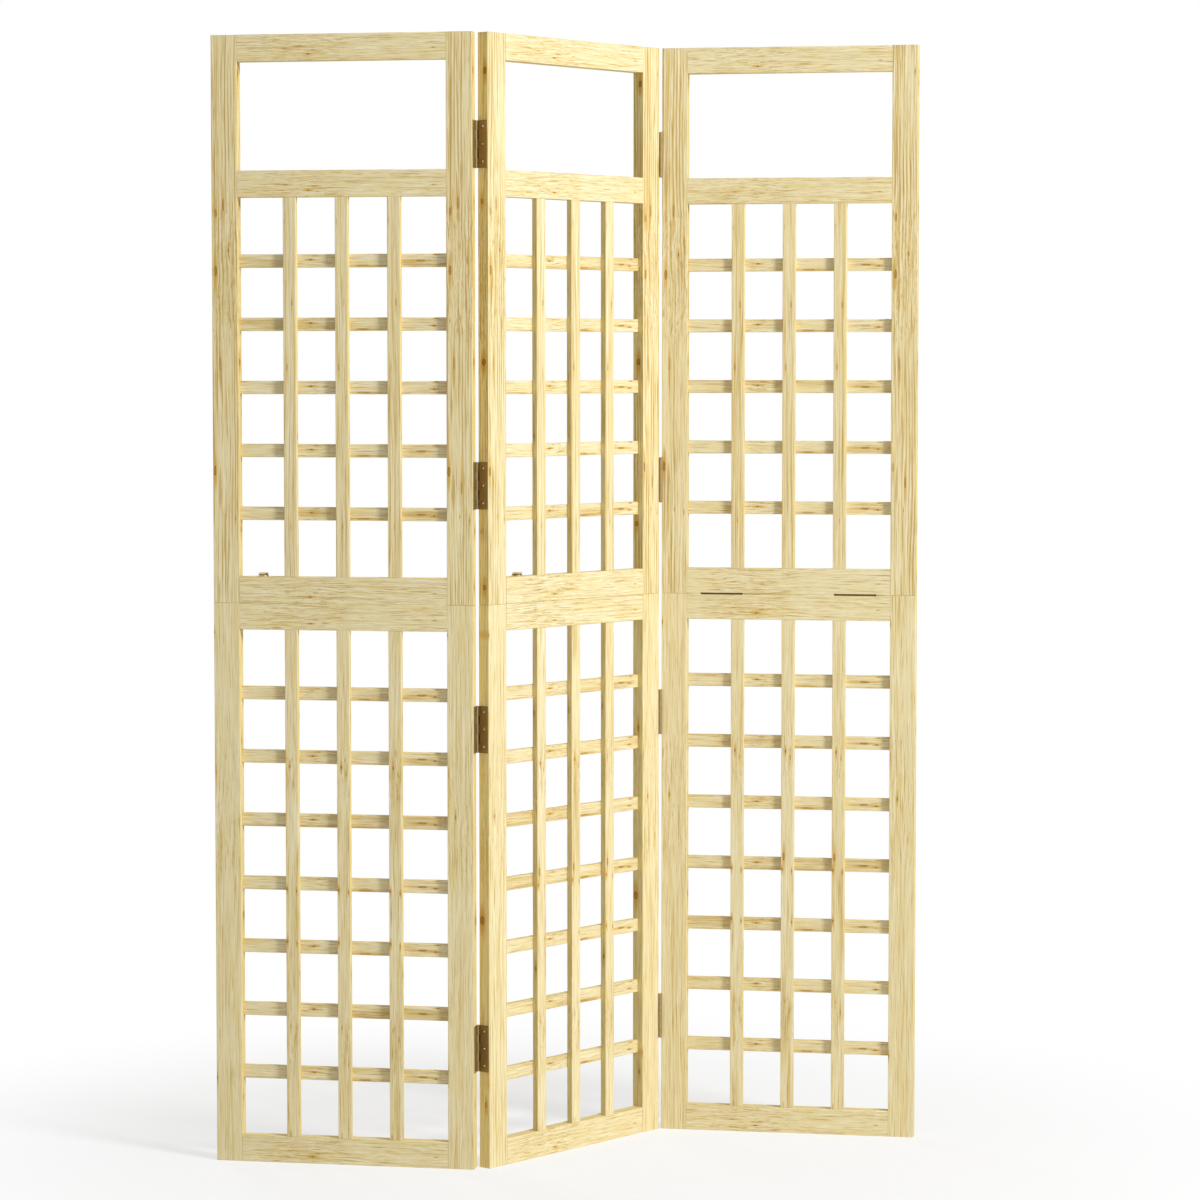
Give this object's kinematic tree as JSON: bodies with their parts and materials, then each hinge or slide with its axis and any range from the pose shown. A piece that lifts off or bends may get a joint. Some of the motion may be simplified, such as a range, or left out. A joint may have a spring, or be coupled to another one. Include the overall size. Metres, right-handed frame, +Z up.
{
  "type": "folding garden screen",
  "caption": "Free-standing zig-zag garden privacy screen of hinged pine lattice panels; its upper halves unbolt and tip back behind the lower ones to pack away.",
  "frame": {"origin": "middle of the standing screen's box, on the ground", "axes": "+Z up; the front looks towards -Y; the first and third panels, counted from the left of the front, lie along X, and the second is turned 60 degrees back between them"},
  "size_m": [1.0248, 0.386, 1.7],
  "materials": {
    "pine": "planed, unfinished pine with fine grain and small knots",
    "hinge_bronze": "antique bronze plated steel, satin, lightly rubbed on the edges",
    "fastener_brass": "plain brass, satin"
  },
  "bodies": {
    "lower_half_3": {"lower_left_stile_3": "pine", "lower_right_stile_3": "pine", "lower_meeting_rail_3": "pine", "bottom_rail_3": "pine", "lower_upright_slats_3": "pine", "lower_level_slats_3": "pine", "lower_hinge_leaves_3": "hinge_bronze", "lower_hinge_screws_3": "fastener_brass", "mid_hinge_lower_leaves": "hinge_bronze", "mid_hinge_pins": "hinge_bronze"},
    "upper_half_3": {"upper_left_stile_3": "pine", "upper_right_stile_3": "pine", "upper_meeting_rail_3": "pine", "upper_cross_rails_3": "pine", "upper_upright_slats_3": "pine", "upper_level_slats_3": "pine", "upper_hinge_leaves_3": "hinge_bronze", "upper_hinge_screws_3": "fastener_brass", "mid_hinge_upper_leaves": "hinge_bronze"},
    "lower_half_2": {"lower_left_stile_2": "pine", "lower_right_stile_2": "pine", "lower_meeting_rail_2": "pine", "bottom_rail_2": "pine", "lower_upright_slats_2": "pine", "lower_level_slats_2": "pine", "lower_hinge_leaves_2": "hinge_bronze", "lower_hinge_screws_2": "fastener_brass", "lower_hinge_pins": "hinge_bronze", "threaded_insert_2": "fastener_brass"},
    "upper_half_2": {"upper_left_stile_2": "pine", "upper_right_stile_2": "pine", "upper_meeting_rail_2": "pine", "upper_cross_rails_2": "pine", "upper_upright_slats_2": "pine", "upper_level_slats_2": "pine", "upper_hinge_leaves_2": "hinge_bronze", "upper_hinge_screws_2": "fastener_brass", "upper_hinge_pins": "hinge_bronze"},
    "lower_half_1": {"lower_left_stile_1": "pine", "lower_right_stile_1": "pine", "lower_meeting_rail_1": "pine", "bottom_rail_1": "pine", "lower_upright_slats_1": "pine", "lower_level_slats_1": "pine", "lower_hinge_leaves_1": "hinge_bronze", "lower_hinge_screws_1": "fastener_brass", "threaded_insert_1": "fastener_brass"},
    "upper_half_1": {"upper_left_stile_1": "pine", "upper_right_stile_1": "pine", "upper_meeting_rail_1": "pine", "upper_cross_rails_1": "pine", "upper_upright_slats_1": "pine", "upper_level_slats_1": "pine", "upper_hinge_leaves_1": "hinge_bronze", "upper_hinge_screws_1": "fastener_brass"},
    "bolt_1": {"lock_bolt_1": "fastener_brass", "bolt_washer_1": "fastener_brass"},
    "bolt_2": {"lock_bolt_2": "fastener_brass", "bolt_washer_2": "fastener_brass"}
  },
  "joints": [
    {"name": "fold_2_3", "type": "hinge", "parent": "lower_half_3", "child": "lower_half_2", "pos_m": [0.11134, 0.16522, 0], "axis": [0, 0, 1], "range_deg": [-60, 120]},
    {"name": "fold_1_2", "type": "hinge", "parent": "lower_half_2", "child": "lower_half_1", "pos_m": [-0.11134, -0.17052, 0], "axis": [0, 0, -1], "range_deg": [-60, 120]},
    {"name": "tip_over", "type": "hinge", "parent": "lower_half_3", "child": "upper_half_3", "pos_m": [0.31239, 0.1904, 0.85], "axis": [-1, 0, 0], "range_deg": [0, 180]},
    {"name": "upper_fold_2_3", "type": "hinge", "parent": "upper_half_3", "child": "upper_half_2", "pos_m": [0.11134, 0.16522, 0.85], "axis": [0, 0, 1], "range_deg": [-60, 120]},
    {"name": "upper_fold_1_2", "type": "hinge", "parent": "upper_half_2", "child": "upper_half_1", "pos_m": [-0.11134, -0.17052, 0.85], "axis": [0, 0, -1], "range_deg": [-60, 120]},
    {"name": "bolt_1_out", "type": "slide", "parent": "upper_half_1", "child": "bolt_1", "axis": [0, 0, 1], "range_m": [0, 0.072]},
    {"name": "bolt_2_out", "type": "slide", "parent": "upper_half_2", "child": "bolt_2", "axis": [0, 0, 1], "range_m": [0, 0.072]}
  ],
  "couplings": [
    {"joint": "upper_fold_2_3", "follows": "fold_2_3", "ratio": 1},
    {"joint": "upper_fold_1_2", "follows": "fold_1_2", "ratio": 1}
  ]
}
